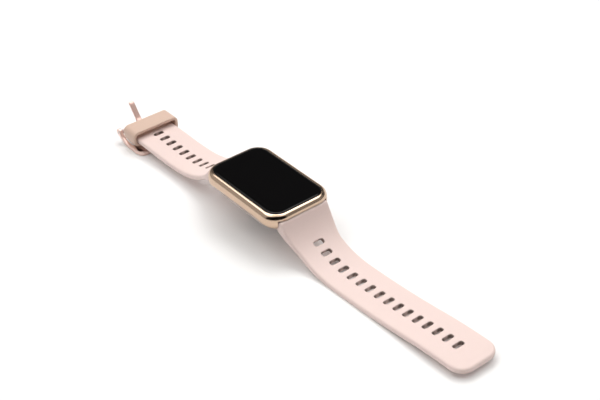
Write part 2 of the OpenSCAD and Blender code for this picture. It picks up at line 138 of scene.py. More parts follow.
def cut(obj, *cutters, smooth=35):
    """Takes the cutters' shapes out of obj and removes the cutters."""
    for cutter in cutters:
        modifier = obj.modifiers.new("cut", "BOOLEAN")
        modifier.operation = "DIFFERENCE"
        modifier.solver = "EXACT"
        modifier.object = cutter
    bpy.context.view_layer.update()
    bake_modifiers(obj)
    for cutter in cutters:
        bpy.data.objects.remove(cutter)
    shade(obj, smooth)


def subdivide(obj, levels):
    modifier = obj.modifiers.new("smooth", "SUBSURF")
    modifier.levels = modifier.render_levels = levels
    bpy.context.view_layer.update()
    bake_modifiers(obj)
    shade(obj, 60)


def loft(rings, cyclic=False):
    """Joins rings of equally many points. Open stacks of rings get a cap at each end."""
    n = len(rings[0])
    verts = [p for ring in rings for p in ring]
    faces = []
    for i in range(len(rings) if cyclic else len(rings) - 1):
        a, b = i * n, (i + 1) % len(rings) * n
        faces += [(a + j, a + (j + 1) % n, b + (j + 1) % n, b + j) for j in range(n)]
    if not cyclic:
        faces += [tuple(range(n)), tuple(range(len(verts) - n, len(verts)))]
    return verts, faces


def rounded_loop(half_w, half_l, r, z, corner=14, side=10):
    """A rounded rectangle at height z, with the same number of points for any size."""
    points = []
    signs = ((1, 1), (-1, 1), (-1, -1), (1, -1))
    for quarter, (sx, sy) in enumerate(signs):
        centre = Vector((sx * (half_w - r), sy * (half_l - r), z))
        for i in range(corner + 1):
            a = math.radians(90 * (quarter + i / corner))
            points.append(centre + Vector((r * math.cos(a), r * math.sin(a), 0)))
        nx, ny = signs[(quarter + 1) % 4]
        following = Vector((nx * (half_w - r), ny * (half_l - r), z))
        a = math.radians(90 * (quarter + 1))
        following += Vector((r * math.cos(a), r * math.sin(a), 0))
        start = points[-1]
        points += [start.lerp(following, i / side) for i in range(1, side)]
    return points


def round_section(half_a, half_b, r, steps=5):
    """A rounded rectangle in a cross-section's own two directions."""
    r = min(r, 0.98 * half_a, 0.98 * half_b)
    points = []
    for quarter, (sa, sb) in enumerate(((1, 1), (-1, 1), (-1, -1), (1, -1))):
        for i in range(steps + 1):
            a = math.radians(90 * (quarter + i / steps))
            points.append((
                sa * (half_a - r) + r * math.cos(a),
                sb * (half_b - r) + r * math.sin(a),
            ))
    return points


def rod(x0, x1, r, at, sides=32):
    """A cylinder along X, for use as a cutter."""
    angles = [2 * math.pi * i / sides for i in range(sides)]
    rings = [[Vector((x, r * math.cos(a), r * math.sin(a))) + at for a in angles] for x in (x0, x1)]
    return make_object("cutter", *loft(rings))


def block(low, high, r, place=None):
    """A box with rounded vertical edges, for use as a cutter."""
    (x0, y0, z0), (x1, y1, z1) = low, high
    middle = Vector(((x0 + x1) / 2, (y0 + y1) / 2, 0))
    rings = [
        [p + middle for p in rounded_loop((x1 - x0) / 2, (y1 - y0) / 2, r, z, 4, 1)]
        for z in (z0, z1)
    ]
    return make_object("cutter", *loft(rings), place)


def ease(t):
    """Goes smoothly from 0 to 1 as t does."""
    t = max(0.0, min(1.0, t))
    return t * t * (3 - 2 * t)


# ---- Materials ----

# Reach of the painted shade: how close the piece's own walls must stand for its colour to darken.
HOLLOW_SHADE_REACH = 2.2


def paint_hollow_shade(tree, shown, hollow):
    """Paints shade into the shown colour: mixes it towards the hollow one, by how much its own mesh closes it in.
    """
    closed = tree.nodes.new("ShaderNodeAmbientOcclusion")
    closed.only_local = True
    closed.samples = 8
    closed.inputs["Distance"].default_value = HOLLOW_SHADE_REACH * MM
    share = tree.nodes.new("ShaderNodeMapRange")
    share.inputs["From Min"].default_value = 0.6
    share.inputs["From Max"].default_value = 0.95
    tree.links.new(closed.outputs["AO"], share.inputs["Value"])
    mix = tree.nodes.new("ShaderNodeMix")
    mix.data_type = "RGBA"
    mix.inputs["A"].default_value = (*hollow, 1)
    tree.links.new(shown, mix.inputs["B"])
    tree.links.new(share.outputs["Result"], mix.inputs["Factor"])
    return mix.outputs["Result"]


def surface(name, color, metallic=0.0, roughness=0.5, spread=0.06, mottle=0.04,
            mottle_mm=6.0, grain_mm=0.3, grain_height=0.02, hollow=None, **sockets):
    """A Principled material with mottled colour, uneven roughness and a fine grain in its bump.
    With a hollow colour, painted shade turns the colour to it where the piece's own walls stand close together."""
    material = bpy.data.materials.new(name)
    material.use_nodes = True
    tree = material.node_tree
    shader = tree.nodes["Principled BSDF"]
    shader.inputs["Metallic"].default_value = metallic
    for socket, value in sockets.items():
        shader.inputs[socket.replace("_", " ")].default_value = value
    where = tree.nodes.new("ShaderNodeTexCoord").outputs["Object"]

    def noise(size_mm, detail):
        texture = tree.nodes.new("ShaderNodeTexNoise")
        texture.inputs["Scale"].default_value = 1 / (size_mm * MM)
        texture.inputs["Detail"].default_value = detail
        tree.links.new(where, texture.inputs["Vector"])
        return texture.outputs["Fac"]

    blotches = noise(mottle_mm, 3)
    mix = tree.nodes.new("ShaderNodeMix")
    mix.data_type = "RGBA"
    mix.inputs["A"].default_value = (*[c * (1 - mottle) for c in color], 1)
    mix.inputs["B"].default_value = (*[min(1, c * (1 + mottle)) for c in color], 1)
    tree.links.new(blotches, mix.inputs["Factor"])
    shown = mix.outputs["Result"]
    # Painted shade: the colour darkens where the piece's own walls close it in, as inside the strap's slots.
    if hollow:
        shown = paint_hollow_shade(tree, shown, hollow)
    tree.links.new(shown, shader.inputs["Base Color"])

    fine = noise(grain_mm, 4)
    rough = tree.nodes.new("ShaderNodeMapRange")
    rough.inputs["To Min"].default_value = max(0.0, roughness - spread)
    rough.inputs["To Max"].default_value = roughness + spread
    tree.links.new(noise(mottle_mm / 3, 5), rough.inputs["Value"])
    tree.links.new(rough.outputs["Result"], shader.inputs["Roughness"])

    bump = tree.nodes.new("ShaderNodeBump")
    bump.inputs["Strength"].default_value = 1.0
    bump.inputs["Distance"].default_value = grain_height * MM
    tree.links.new(fine, bump.inputs["Height"])
    tree.links.new(bump.outputs["Normal"], shader.inputs["Normal"])
    return material


def make_materials():
    return {
        "rose_gold": surface("rose_gold", (0.64, 0.47, 0.35), 1, 0.16, 0.03, 0.02,
                             grain_mm=0.4, grain_height=0.0006),
        "button_gold": surface("button_gold", (0.88, 0.64, 0.5), 1, 0.2, 0.03, 0.02,
                               grain_mm=0.3, grain_height=0.001),
        "buckle_gold": surface("buckle_gold", (0.88, 0.66, 0.59), 0.6, 0.36, 0.04, 0.03,
                               grain_mm=0.3, grain_height=0.001),
        "tongue_gold": surface("tongue_gold", (0.86, 0.6, 0.53), 0.5, 0.42, 0.04, 0.03,
                               grain_mm=0.3, grain_height=0.001),
        # The last colour of each silicone is painted shade, mixed in where its own walls close it in, such as
        # inside the strap's slots.
        "pink_silicone": surface("pink_silicone", (0.87, 0.695, 0.65), 0, 0.55, 0.05, 0.012,
                                 14, 0.12, 0.006, (0.05, 0.03, 0.014),
                                 Specular_IOR_Level=0.35,
                                 Sheen_Weight=0.12, Sheen_Roughness=0.4),
        "tan_silicone": surface("tan_silicone", (0.71, 0.51, 0.41), 0, 0.5, 0.05, 0.015,
                                10, 0.12, 0.006, (0.1, 0.06, 0.04),
                                Specular_IOR_Level=0.35,
                                Sheen_Weight=0.12, Sheen_Roughness=0.4),
        "black_glass": surface("black_glass", (0.0035, 0.0033, 0.0035), 0, 0.035, 0.012, 0.1,
                               9, 3, 0.0002, Specular_IOR_Level=0.12),
        "window_glass": surface("window_glass", (0.01, 0.01, 0.012), 0, 0.06, 0.02, 0.2,
                                2, 3, 0.0002, Specular_IOR_Level=0.5),
        "back_plastic": surface("back_plastic", (0.55, 0.45, 0.41), 0, 0.42, 0.05, 0.08,
                                3, 0.1, 0.006),
        "black_foam": surface("black_foam", (0.02, 0.02, 0.02), 0, 0.9, 0.05, 0.2, 1, 0.1),
        "display_black": surface("display_black", (0.01, 0.01, 0.012), 0, 0.2, 0.03, 0.2),
        "amber_flex": surface("amber_flex", (0.5, 0.25, 0.05), 0, 0.35, 0.06, 0.15, 1),
        "black_plastic": surface("black_plastic", (0.03, 0.03, 0.032), 0, 0.6, 0.06, 0.1, 2),
        "battery_foil": surface("battery_foil", (0.45, 0.47, 0.5), 0.7, 0.4, 0.1, 0.08, 2),
        "green_board": surface("green_board", (0.02, 0.12, 0.06), 0, 0.35, 0.08, 0.2, 1),
        "tin_can": surface("tin_can", (0.6, 0.61, 0.62), 1, 0.35, 0.08, 0.06, 2, 0.15),
        "seal_red": surface("seal_red", (0.45, 0.08, 0.05), 0, 0.6, 0.05, 0.1, 2),
        "seal_black": surface("seal_black", (0.03, 0.03, 0.03), 0, 0.7, 0.05, 0.1, 1),
        "led_lens": surface("led_lens", (0.7, 0.8, 0.7), 0, 0.2, 0.05, 0.1, 0.5),
        "contact_gold": surface("contact_gold", (0.85, 0.62, 0.28), 1, 0.25, 0.05, 0.05, 1,
                                0.2, 0.001),
        "steel": surface("steel", (0.6, 0.6, 0.62), 1, 0.28, 0.06, 0.04, 1, 0.15, 0.001),
    }


def finish_piece(obj, body, slot, nodes, materials):
    """Gives a piece its material and its body, and hides the CAD nodes it stands for."""
    obj.data.materials.clear()
    obj.data.materials.append(materials[slot])
    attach(obj, body)
    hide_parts(*nodes)


def dress_cad_nodes(materials):
    """The CAD parts that stay get the material of their slot in the record."""
    for row in frame["record"]["subparts"]:
        for slot in NODES[row["node"]].material_slots:
            slot.material = materials[row["material_slot"]]


# ---- Case ----

FRAME_LOW, FRAME_TOP = 3.8, 10.5
SIDE_Z = 7.2
RIM_W, RIM_L, RIM_R = 2.25, 1.85, 2.0
SEAT = (12.75, 21.15, 5.25)
WELL = (12.45, 20.05, 4.2)
BAY = (12.4, 16.3, 4.0)
SEAT_Z, PANEL_Z, POCKET_TOP = 9.6, 8.55, 8.4
POCKET_IN, POCKET_HALF_W = 17.45, 11.6
UNDER_W = 2.4
PLAIN_TOP, PLAIN_ARCH = 7.0, 1.9
BUTTON_TOP, BUTTON_ARCH = 6.2, 0.4
OVER_Z, OVER_SHARE = 7.4, 0.93
LIP_SHARE, LIP_DROP = 0.97, 0.02
LIP_CHAMFER = 0.1
SEAT_CHAMFER = 0.06
GLASS_T, GLASS_GAP = 1.0, 0.1
WINDOW_R = 7.6
BUTTON_HALF_L, BUTTON_HALF_H, BUTTON_Z = 4.5, 1.2, 6.0
BUTTON_GAP = 0.1
BUTTON_WELL_IN, BUTTON_WELL_OUT = 14.3, 17
POCKET_LOW, POCKET_OUT = -2, 26


def case_loop(half_w, half_l, r, z):
    """A rounded rectangle with enough points for the case's large corners."""
    return rounded_loop(half_w, half_l, r, z, 20, 16)


def outer_ring(inset, z):
    """The frame's outline drawn in by a share of its rim, at height z."""
    return case_loop(CASE_HALF_W - inset * RIM_W, CASE_HALF_L - inset * RIM_L,
                     CASE_R - inset * RIM_R, z)


def under_ring(a):
    """A ring of the rounded underside. It arches up between the case's two ends, but less on
    the side that holds the button."""
    inset = UNDER_W * (1 - math.cos(a))
    ring = case_loop(CASE_HALF_W - inset, CASE_HALF_L - inset, CASE_R - inset, 0)
    for p in ring:
        plain = ease(0.5 - p.x / (2 * POCKET_HALF_W))
        arch = BUTTON_ARCH + (PLAIN_ARCH - BUTTON_ARCH) * plain
        top = BUTTON_TOP + (PLAIN_TOP - BUTTON_TOP) * plain
        low = FRAME_LOW + arch * ease(1 - (p.y / CASE_HALF_L) ** 2)
        p.z = low + (top - low) * (1 + math.sin(a))
    return ring


def make_case_frame():
    under = [math.radians(-90 + 10 * i) for i in range(10)]
    over = [math.radians(6 * i) for i in range(15)]
    rings = [under_ring(a) for a in under]
    rings.append(outer_ring(0, SIDE_Z))
    rings += [
        outer_ring(OVER_SHARE * (1 - math.cos(a)), OVER_Z + (FRAME_TOP - OVER_Z) * math.sin(a))
        for a in over
    ]
    rings += [outer_ring(LIP_SHARE, FRAME_TOP - LIP_DROP), outer_ring(1, FRAME_TOP - LIP_CHAMFER)]
    inner = [(*SEAT, SEAT_Z + SEAT_CHAMFER), (*SEAT, SEAT_Z), (*WELL, SEAT_Z),
             (*WELL, PANEL_Z), (*BAY, PANEL_Z), (*BAY, FRAME_LOW)]
    rings += [case_loop(*size) for size in inner]
    shell = make_object("case_frame_shell", *loft(rings, cyclic=True), CASE)
    well_half_l, well_half_h = BUTTON_HALF_L + BUTTON_GAP, BUTTON_HALF_H + BUTTON_GAP
    cutters = [block((BUTTON_WELL_IN, -well_half_l, BUTTON_Z - well_half_h),
                     (BUTTON_WELL_OUT, well_half_l, BUTTON_Z + well_half_h), 0.2, CASE)]
    for side in (-1, 1):
        ends = sorted((side * POCKET_IN, side * POCKET_OUT))
        cutters.append(block((-POCKET_HALF_W, ends[0], POCKET_LOW),
                             (POCKET_HALF_W, ends[1], POCKET_TOP), 0.3, CASE))
    cut(shell, *cutters)
    return shell


def make_cover_glass():
    half_w, half_l, r = [size - GLASS_GAP for size in SEAT]
    edge_w, edge_h = 0.8, 0.45
    low, top = CASE_H - GLASS_T, CASE_H
    rings = [case_loop(half_w, half_l, r, z) for z in (low, top - edge_h - 0.1)]
    for i in range(13):
        a = math.radians(7.5 * i)
        inset = edge_w * (1 - math.cos(a))
        rings.append(case_loop(half_w - inset, half_l - inset, r - inset,
                               top - edge_h * (1 - math.sin(a))))
    rings += [case_loop(half_w - d, half_l - d, r - d, top) for d in (2.0, 2.6)]
    return make_object("cover_glass_pane", *loft(rings), CASE)


def make_side_button():
    """A cap with a rounded edge and a slightly hollow face, on a round stem."""
    half_l, half_h, r = BUTTON_HALF_L, BUTTON_HALF_H, BUTTON_HALF_H - 0.01
    stem_end, back, front, edge = 11.05, 14.7, 15.6, 0.32
    stem_r = 0.8
    profile = [(stem_r, stem_r, stem_r, stem_end), (stem_r, stem_r, stem_r, back),
               (half_l, half_h, r, back)]
    insets = [(edge * (1 - math.cos(a)), edge * (1 - math.sin(a)))
              for a in [math.radians(15 * i) for i in range(7)]]
    insets += [(0.5, 0.01), (0.8, 0.05)]
    profile += [(half_l - inset, half_h - inset, r - inset, front - drop)
                for inset, drop in insets]
    turn = Matrix(((0, 0, 1, 0), (1, 0, 0, 0), (0, 1, 0, 0), (0, 0, 0, 1)))
    rings = [rounded_loop(*p, 10, 8) for p in profile]
    place = CASE @ Matrix.Translation((0, 0, BUTTON_Z)) @ turn
    return make_object("side_button_cap", *loft(rings), place)


def make_back_cover():
    """A shallow dish with a lip that enters the frame, a seat for the sensor window, and
    holes for the two contacts and the four screws."""
    half_w, half_l, r = 12.7, 17.1, 5.0
    low, top, edge_w, edge_h = 1.2, 3.7, 3.2, 2.2
    arc = [math.radians(-90 + 10 * i) for i in range(10)]
    rings = [
        rounded_loop(half_w - edge_w * (1 - math.cos(a)), half_l - edge_w * (1 - math.cos(a)),
                     r - edge_w * (1 - math.cos(a)), low + edge_h * (1 + math.sin(a)))
        for a in arc
    ]
    lip, bay = (12.3, 16.2, 3.9), (11.2, 15.3, 2.8)
    lip_top, floor_z = 4.5, 2.4
    rings += [rounded_loop(half_w, half_l, r, top), rounded_loop(*lip, top),
              rounded_loop(*lip, lip_top), rounded_loop(*bay, lip_top),
              rounded_loop(*bay, floor_z)]
    cover = make_object("back_cover_shell", *loft(rings), CASE)
    contact_x, contact_y, screw_x, screw_y = 2.5, 12, 10, 13.9
    holes = [(0, 0, WINDOW_R + 0.1, 1.6), (0, 0, 6.2, 3)]
    holes += [(x, contact_y, 1.02, 3) for x in (-contact_x, contact_x)]
    holes += [(x, y, 1.05, 1.9) for x in (-screw_x, screw_x) for y in (-screw_y, screw_y)]
    cutters = []
    for x, y, radius, depth in holes:
        rings = [[p + Vector((x, y, 0)) for p in rounded_loop(radius, radius, radius, z, 12, 1)]
                 for z in (0, depth)]
        cutters.append(make_object("cutter", *loft(rings), CASE))
    cut(cover, *cutters)
    return cover


def make_sensor_window():
    """A round window with a rolled edge. Its outer face is very slightly hollow."""
    back, shoulder = 1.5, 0.95
    edge_r = 1.05
    profile = [(1.0, back), (WINDOW_R - 0.2, back), (WINDOW_R, back - 0.08), (WINDOW_R, shoulder)]
    profile += [(WINDOW_R - edge_r * (1 - math.cos(a)), shoulder * (1 - math.sin(a)))
                for a in [math.radians(10 * i) for i in range(1, 10)]]
    profile += [(6.3, 0), (5.6, 0), (5.5, 0.05), (1.2, 0.05)]
    rings = [rounded_loop(r, r, r, z, 12, 1) for r, z in profile]
    return make_object("sensor_window_lens", *loft(rings), CASE)


# ---- Straps ----

STRAP_T, ROOT_T, ROOT_REACH = 2.0, 4.0, 11.0
STRAP_HALF_W, ROOT_HALF_W = 9.6, 11.3
KNUCKLE_R = 1.9
ROOT_FROM, ROOT_ROWS = 3.0, 14
FLARE_FROM, FLARE_L = 1, 9
SLOT_PITCH = 4.925
SLOT_HALF_W, SLOT_HALF_L, SLOT_R = 2.25, 1.0, 0.7
SEAM_Y, SEAM_Z = 23.2, 8.05
LONG = {"arcs": [(14, 37), (8, 16.5), (10, 13), (16, 2.5), (22, 3.5), (27.6, -7)],
        "start": -67.5, "slots": 16, "first_slot": 12.66, "tip_r": 5.6}
SHORT = {"arcs": [(14, 23.5), (8, 12), (10, 12), (12, 5), (22, 0), (8.6, -15)],
         "start": -50, "slots": 10, "first_slot": 14.95, "tip_r": 0.8}
EDGE_TOP, EDGE_LOW = 0.95, 0.4
STRIP_HALF_W, STRIP_COLUMNS, CELL_ROWS, SIDE_COLUMNS = 3.2, 8, 6, 4
BAR_BORE_R, PIN_BORE_R, PIN_PRESS_R = 0.9, 0.72, 0.67
NOTCH_HALF_W, NOTCH_L = 1.5, 2.4
THROUGH = 14


class StrapPath:
    """The top surface of a strap in side view: reach from the case's middle, and height."""

    def __init__(self, shape, side):
        seam = CASE @ Vector((0, side * SEAM_Y, SEAM_Z))
        self.side = side
        self.at = (side * (seam.y - CASE_Y), seam.z)
        self.shape = shape
        self.length = sum(run for run, _ in shape["arcs"])
        bar = SHORT_BAR if side > 0 else LONG_BAR
        self.bar = Vector((side * (bar.y - CASE_Y), bar.z))

    def walk(self, s):
        """(reach, height, heading) after going s along the arcs."""
        (u, v), heading = self.at, self.shape["start"]
        arcs = self.shape["arcs"]
        for i, (run, bend) in enumerate(arcs):
            part = s if i == len(arcs) - 1 else min(s, run)
            turn = bend * part / run
            half = math.radians(turn / 2)
            chord = part if abs(half) < 1e-9 else part * math.sin(half) / half
            way = math.radians(heading) + half
            u, v, heading = u + chord * math.cos(way), v + chord * math.sin(way), heading + turn
            s -= part
            if s <= 0:
                break
        return u, v, heading

    def pair(self, s):
        """The top and bottom points at s, where the strap has left the case."""
        u, v, heading = self.walk(s)
        thick = STRAP_T + (ROOT_T * (1 - s / ROOT_REACH) ** 2 if s < ROOT_REACH else 0)
        h = math.radians(heading)
        top = Vector((u, v))
        return top, top + thick * Vector((math.sin(h), -math.cos(h)))

    def root_pairs(self, s0, count):
        """Top and bottom points from s0 back into the case and round the knuckle."""
        def knuckle(degrees):
            a = math.radians(degrees)
            return self.bar + KNUCKLE_R * Vector((math.cos(a), math.sin(a)))

        top = [self.pair(s0 * (1 - i / 6))[0] for i in range(7)]
        top += [knuckle(a) for a in range(90, 181, 9)]
        bottom = [self.pair(s0)[1]] + [knuckle(a) for a in range(-75, -181, -7)]
        shares = [i / count for i in range(1, count)]
        return list(zip(along(top, shares), along(bottom, shares)))


def along(line, shares):
    """Points at the given shares of a polyline's length."""
    steps = [(b - a).length for a, b in zip(line, line[1:])]
    found = []
    for share in shares:
        left = share * sum(steps)
        i = 0
        while i < len(steps) - 1 and left > steps[i]:
            left -= steps[i]
            i += 1
        found.append(line[i].lerp(line[i + 1], min(1, left / max(steps[i], 1e-9))))
    return found


def strap_half_width(path, s):
    """Half the strap's width at s, which eases from the case's to the strap's own."""
    reach = path.walk(s)[0] - path.at[0]
    flare = 1 - ease((reach - FLARE_FROM) / FLARE_L)
    return STRAP_HALF_W + (ROOT_HALF_W - STRAP_HALF_W) * flare


def strap_rows(path):
    """Rows across a strap from its knuckle to its tip: pair of points, inner half width,
    outward direction at the edge as (across, along), and the slot cell it is in."""
    shape = path.shape
    rows = []
    for pair in reversed(path.root_pairs(ROOT_FROM, ROOT_ROWS)):
        rows.append({"pair": pair, "half": ROOT_HALF_W - EDGE_TOP, "out": (1, 0), "s": None})
    cells_from = shape["first_slot"] - SLOT_PITCH / 2
    cells_to = cells_from + shape["slots"] * SLOT_PITCH
    tip_from = path.length - shape["tip_r"]
    stations = [ROOT_FROM + (cells_from - ROOT_FROM) * i / 8 for i in range(8)]
    count = shape["slots"] * CELL_ROWS
    stations += [cells_from + (cells_to - cells_from) * i / count for i in range(count + 1)]
    plain = max(2, round((tip_from - cells_to) / 1.2))
    stations += [cells_to + (tip_from - cells_to) * i / plain for i in range(1, plain + 1)]
    for s in stations:
        half = strap_half_width(path, s) - EDGE_TOP
        rows.append({"pair": path.pair(s), "half": half, "out": (1, 0), "s": s})
    radius = shape["tip_r"] - min(EDGE_TOP, 0.9 * shape["tip_r"])
    for i in range(1, 10):
        a = math.radians(10 * i)
        s = tip_from + radius * math.sin(a)
        half = STRAP_HALF_W - shape["tip_r"] + radius * math.cos(a)
        rows.append({"pair": path.pair(s), "half": half, "out": (math.cos(a), math.sin(a)),
                     "s": s})
    return rows, cells_from


def slot_outline(a, b, grow):
    """The point of the slot's outline that matches (a, b) on the edge of a unit square."""
    half_w, half_l, r = SLOT_HALF_W + grow, SLOT_HALF_L + grow, SLOT_R + grow
    q = Vector((a * half_w, b * half_l))
    core = Vector((half_w - r, half_l - r))
    if abs(q.x) > core.x and abs(q.y) > core.y:
        corner = Vector((math.copysign(core.x, q.x), math.copysign(core.y, q.y)))
        q = corner + (q - corner).normalized() * r
    return q


class StrapMesh:
    """Collects a strap's points and faces."""

    def __init__(self, path):
        self.path = path
        self.verts = []
        self.faces = []
        self.rows, self.cells_from = strap_rows(path)
        self.columns = self.make_columns()

    def make_columns(self):
        """Where the columns stand: fixed in the middle strip, and shares of the rest."""
        sides = [("side", i / SIDE_COLUMNS) for i in range(SIDE_COLUMNS, 0, -1)]
        middle = [("strip", STRIP_HALF_W * (2 * i / STRIP_COLUMNS - 1))
                  for i in range(STRIP_COLUMNS + 1)]
        left = [("left", share) for _, share in sides]
        right = [("right", share) for _, share in reversed(sides)]
        return left + middle + right

    def across(self, column, half):
        kind, value = column
        if kind == "strip":
            return value
        x = STRIP_HALF_W + (half - STRIP_HALF_W) * value
        return -x if kind == "left" else x

    def put(self, x, pair, share):
        """Adds the point at x, a share of the way from the pair's top to its bottom."""
        p = pair[0].lerp(pair[1], share)
        self.verts.append((x, CASE_Y + self.path.side * p.x, p.y))
        return len(self.verts) - 1

    def in_cell(self, i, j):
        """Whether the face after row i and column j lies where a slot is cut."""
        s = self.rows[i]["s"]
        first = SIDE_COLUMNS
        if s is None or not first <= j < first + STRIP_COLUMNS:
            return False
        place = (s - self.cells_from) / SLOT_PITCH
        return -1e-6 < place < self.path.shape["slots"] - 1e-6

    def grid(self, share):
        made = [[self.put(self.across(c, row["half"]), row["pair"], share) for c in self.columns]
                for row in self.rows]
        for i in range(len(made) - 1):
            for j in range(len(self.columns) - 1):
                if not self.in_cell(i, j):
                    self.faces.append((made[i][j], made[i][j + 1], made[i + 1][j + 1],
                                       made[i + 1][j]))
        return made

    def bridge(self, ring, other):
        n = len(ring)
        for k in range(n):
            self.faces.append((ring[k], ring[(k + 1) % n], other[(k + 1) % n], other[k]))

    def border(self, made):
        """The grid's edge as one loop, with each point's row and outward direction."""
        last = len(self.columns) - 1
        loop = [(0, j, (0, 0)) for j in range(last)]
        loop += [(i, last, self.rows[i]["out"]) for i in range(len(self.rows))]
        loop += [(len(self.rows) - 1, j, (0, 1)) for j in range(last - 1, 0, -1)]
        loop += [(i, 0, self.rows[i]["out"]) for i in range(len(self.rows) - 1, 0, -1)]
        return [(made[i][j], i, j, out) for i, j, out in loop]

    def rim_ring(self, loop, out_mm, depth):
        """The edge moved outwards by out_mm, at a depth counted down, or up if negative."""
        ring = []
        for _, i, j, (nx, ns) in loop:
            row = self.rows[i]
            x = self.across(self.columns[j], row["half"])
            sign = -1 if self.columns[j][0] == "left" else 1
            if row["s"] is None or ns == 0:
                pair = row["pair"]
            else:
                pair = self.path.pair(row["s"] + ns * out_mm)
            thick = (pair[1] - pair[0]).length
            share = min(0.45, abs(depth) / thick)
            ring.append(self.put(x + sign * nx * out_mm, pair, share if depth >= 0 else 1 - share))
        return ring

    def rims(self, top, low):
        loop = self.border(top)
        rings = [[k for k, _, _, _ in loop]]
        for i in range(1, 6):
            a = math.radians(18 * i)
            rings.append(self.rim_ring(loop, EDGE_TOP * math.sin(a), EDGE_TOP * (1 - math.cos(a))))
        for i in range(4, -1, -1):
            a = math.radians(22.5 * i)
            out = EDGE_TOP - EDGE_LOW * (1 - math.sin(a))
            rings.append(self.rim_ring(loop, out, -EDGE_LOW * (1 - math.cos(a)) or -1e-9))
        rings.append([k for k, _, _, _ in self.border(low)])
        for ring, other in zip(rings, rings[1:]):
            self.bridge(ring, other)

    def slot(self, index, top, low):
        """Joins the top and bottom grids round one slot."""
        first_row = next(i for i, row in enumerate(self.rows) if row["s"] is not None
                         and row["s"] >= self.cells_from - 1e-6) + index * CELL_ROWS
        j0, j1 = SIDE_COLUMNS, SIDE_COLUMNS + STRIP_COLUMNS
        i0, i1 = first_row, first_row + CELL_ROWS
        edge = [(i0, j) for j in range(j0, j1)] + [(i, j1) for i in range(i0, i1)]
        edge += [(i1, j) for j in range(j1, j0, -1)] + [(i, j0) for i in range(i1, i0, -1)]
        middle = self.cells_from + (index + 0.5) * SLOT_PITCH
        depths = [(0.55, 0), (0.22, 0), (0.07, 0.05), (0, 0.2), (0, 0.5), (0, 0.8),
                  (0.07, 0.95), (0.22, 1), (0.55, 1)]
        rings = [[top[i][j] for i, j in edge]]
        for grow, share in depths:
            ring = []
            for i, j in edge:
                a = 2 * (j - j0) / STRIP_COLUMNS - 1
                b = 2 * (i - i0) / CELL_ROWS - 1
                q = slot_outline(a, b, grow)
                ring.append(self.put(q.x, self.path.pair(middle + q.y), share))
            rings.append(ring)
        rings.append([low[i][j] for i, j in edge])
        for ring, other in zip(rings, rings[1:]):
            self.bridge(ring, other)

    def build(self, name):
        top, low = self.grid(0), self.grid(1)
        self.rims(top, low)
        for index in range(self.path.shape["slots"]):
            self.slot(index, top, low)
        obj = make_object(name, self.verts, self.faces)
        subdivide(obj, 1)
        return obj


def bar_cutters(bar):
    """The bore for the spring bar and the window for its release lever."""
    bore = rod(-THROUGH, THROUGH, BAR_BORE_R, bar)
    turn = Matrix.Translation(bar) @ Matrix.Rotation(TILT, 4, "X")
    window = block((6.25, -0.55, -4.5), (8.55, 0.55, 0), 0.2, turn)
    return bore, window


def make_long_strap():
    strap = StrapMesh(StrapPath(LONG, -1)).build("strap_long_silicone")
    cut(strap, *bar_cutters(LONG_BAR), smooth=50)
    return strap


def make_short_strap():
    """The short strap ends on the buckle pin and is notched there for the tongue."""
    strap = StrapMesh(StrapPath(SHORT, 1)).build("strap_short_silicone")
    notch = block((-NOTCH_HALF_W, PIN.y - NOTCH_L, PIN.z - 4), (NOTCH_HALF_W, PIN.y + 6, PIN.z + 4),
                  0.6)
    pin_bore = rod(-THROUGH, THROUGH, PIN_BORE_R, PIN)
    cut(strap, *bar_cutters(SHORT_BAR), pin_bore, notch, smooth=50)
    return strap


# ---- Keeper and buckle ----


def make_keeper():
    low, high = [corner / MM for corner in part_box("keeper_loop")]
    axis = JOINTS["keeper_slide"]["axis"]
    slope = math.atan2(-axis[2], -axis[1])
    half_w, half_h, half_l, wall, r = 11.5, 3.55, 4.25, 1.4, 2.6
    edge_r, crown_h = 0.42, 0.1
    outline = rounded_loop(half_w - wall / 2, half_h - wall / 2, r - wall / 2, 0, 10, 8)
    n = len(outline)
    rings = []
    for k, p in enumerate(outline):
        tangent = (outline[(k + 1) % n] - outline[k - 1]).normalized()
        out = Vector((tangent.y, -tangent.x, 0))
        ring = []
        for a, b in round_section(wall / 2, half_l, edge_r, 5):
            crown = crown_h * (1 - (b / half_l) ** 2) if a > 0 else 0
            q = p + out * (a - crown_h + crown)
            ring.append(Vector((q.x, b, q.y)))
        rings.append(ring)
    place = Matrix.Translation((low + high) / 2) @ Matrix.Rotation(slope, 4, "X")
    return make_object("keeper_band", *loft(rings, cyclic=True), place, 50)


BUCKLE_HALF_W, ARM_W, BUCKLE_T = 11.5, 1.6, 1.8
BUCKLE_REACH, PLATE_L, BEND_R = 17.7, 7.9, 10.0
EYE_R, EYE_NECK, EYE_REACH = 1.5, 1.3, 0.75
CORNER_X, OUTER_R, INNER_R = 7.0, 3.4, 1.3
TONGUE_LEAN = math.radians(55)
BEND_LEAN = math.acos(1 - (PIN.z - BUCKLE_T / 2) / BEND_R)
BEND = Vector((PIN.y - BEND_R * math.sin(BEND_LEAN), BEND_R + BUCKLE_T / 2))
BEND_RUN = BEND_R * BEND_LEAN
BUCKLE_RUN = BUCKLE_REACH - (PIN.y - BEND.x) + BEND_RUN


def on_buckle(x, run, k):
    """The point that far along the bent frame from the pin, k below its middle surface."""
    if run >= BEND_RUN:
        return Vector((x, BEND.x + BEND_RUN - run, BUCKLE_T / 2 - k))
    lean = BEND_LEAN - run / BEND_R
    r = BEND_R + k
    return Vector((x, BEND.x + r * math.sin(lean), BEND.y - r * math.cos(lean)))


def corner_points(start, corner, end, r, count):
    """Points from start round a corner of radius r to end."""
    a, b = (start - corner).normalized(), (end - corner).normalized()
    centre = corner + r * (a + b)
    line = [start, corner + r * a]
    line += [centre - r * (math.sin(t) * a + math.cos(t) * b)
             for t in [math.radians(90 - 90 * i / 12) for i in range(1, 12)]]
    line += [corner + r * b, end]
    return along(line, [i / count for i in range(count + 1)])


